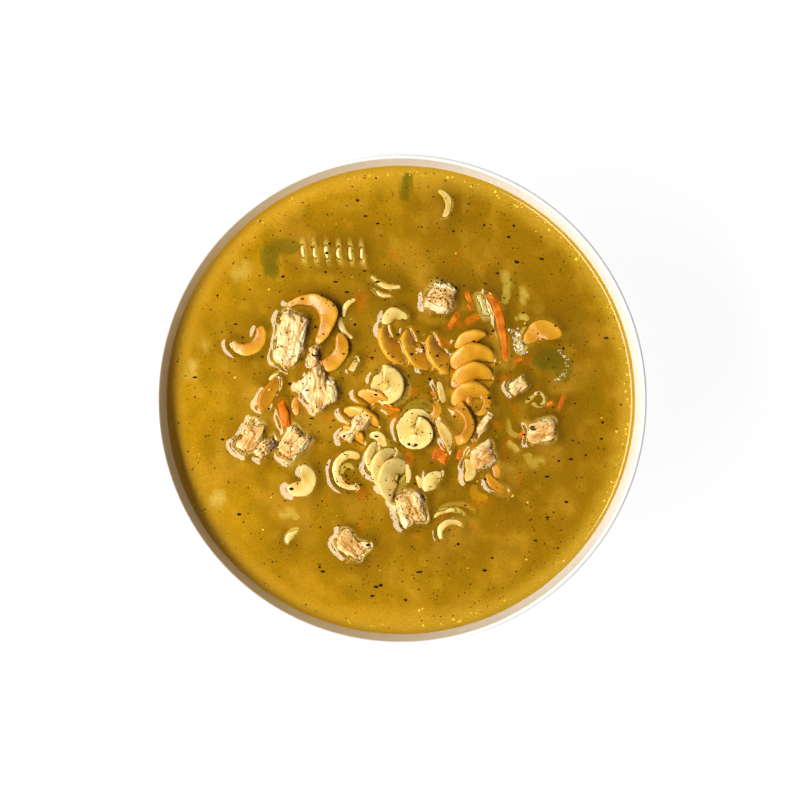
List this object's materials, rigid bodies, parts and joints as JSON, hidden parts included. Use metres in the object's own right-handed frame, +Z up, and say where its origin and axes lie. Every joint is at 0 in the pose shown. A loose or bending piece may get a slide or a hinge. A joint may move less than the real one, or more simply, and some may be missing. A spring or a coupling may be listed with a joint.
{
  "type": "chicken noodle soup",
  "caption": "Round white glazed bowl filled with golden chicken soup, with spiral noodles, diced chicken, carrot shreds, herbs and pepper.",
  "frame": {"origin": "middle of the bowl's foot ring, on the surface it stands on", "axes": "+Z up through the middle of the bowl, +X to the right and +Y away in the view from above"},
  "size_m": [0.152, 0.152, 0.06],
  "materials": {
    "glaze": "white glossy glaze",
    "broth": "turbid golden broth with a wet gloss",
    "noodle_orange": "soft wet orange noodle",
    "noodle_pale": "soft wet pale noodle",
    "chicken": "moist fibrous cooked chicken",
    "carrot": "wet cooked carrot",
    "onion": "translucent cooked onion",
    "celery": "cooked celery under the broth",
    "pepper": "ground pepper and dried herb",
    "oil": "glossy droplets of fat"
  },
  "bodies": {
    "root": {"bowl": "glaze", "broth": "broth", "chicken_long": "chicken", "chicken_fibrous": "chicken", "chicken_slant": "chicken", "chicken_charred": "chicken", "chicken_peaked": "chicken", "chicken_peppered": "chicken", "chicken_strip": "chicken", "chicken_wedge": "chicken", "chicken_sunk": "chicken", "chicken_right": "chicken", "chicken_splinter": "chicken", "chicken_herbed": "chicken", "chicken_small": "chicken", "chicken_flake": "chicken", "rotini_orange_tall": "noodle_orange", "rotini_orange_curl": "noodle_orange", "rotini_orange_ridged": "noodle_orange", "leaf_orange_broad": "noodle_orange", "leaf_orange_side": "noodle_orange", "leaf_pale_side": "noodle_pale", "rotini_orange_under": "noodle_orange", "leaf_orange_low": "noodle_orange", "leaf_orange_bud": "noodle_orange", "rotini_pale_end": "noodle_pale", "rotini_pale_upright": "noodle_pale", "rotini_pale_fanned": "noodle_pale", "leaf_pale_arc_high": "noodle_pale", "leaf_pale_arc_low": "noodle_pale", "leaf_pale_sickle_long": "noodle_pale", "leaf_pale_sickle_short": "noodle_pale", "rotini_pale_far": "noodle_pale", "leaf_pale_arch_inner": "noodle_pale", "leaf_pale_arch_outer": "noodle_pale", "leaf_pale_keel": "noodle_pale", "leaf_orange_loop": "noodle_orange", "leaf_orange_crescent": "noodle_orange", "leaf_orange_hook": "noodle_orange", "leaf_orange_cap": "noodle_orange", "leaf_orange_lobe": "noodle_orange", "leaf_pale_ring": "noodle_pale", "leaf_pale_disc": "noodle_pale", "leaf_pale_fan": "noodle_pale", "leaf_pale_bud": "noodle_pale", "leaf_pale_moon": "noodle_pale", "leaf_pale_crescent": "noodle_pale", "leaf_pale_band": "noodle_pale", "leaf_pale_tail": "noodle_pale", "leaf_pale_tip": "noodle_pale", "carrot_shred": "carrot", "carrot_piece": "carrot", "carrot_glossy": "carrot", "onion_piece": "onion"}
  },
  "joints": []
}
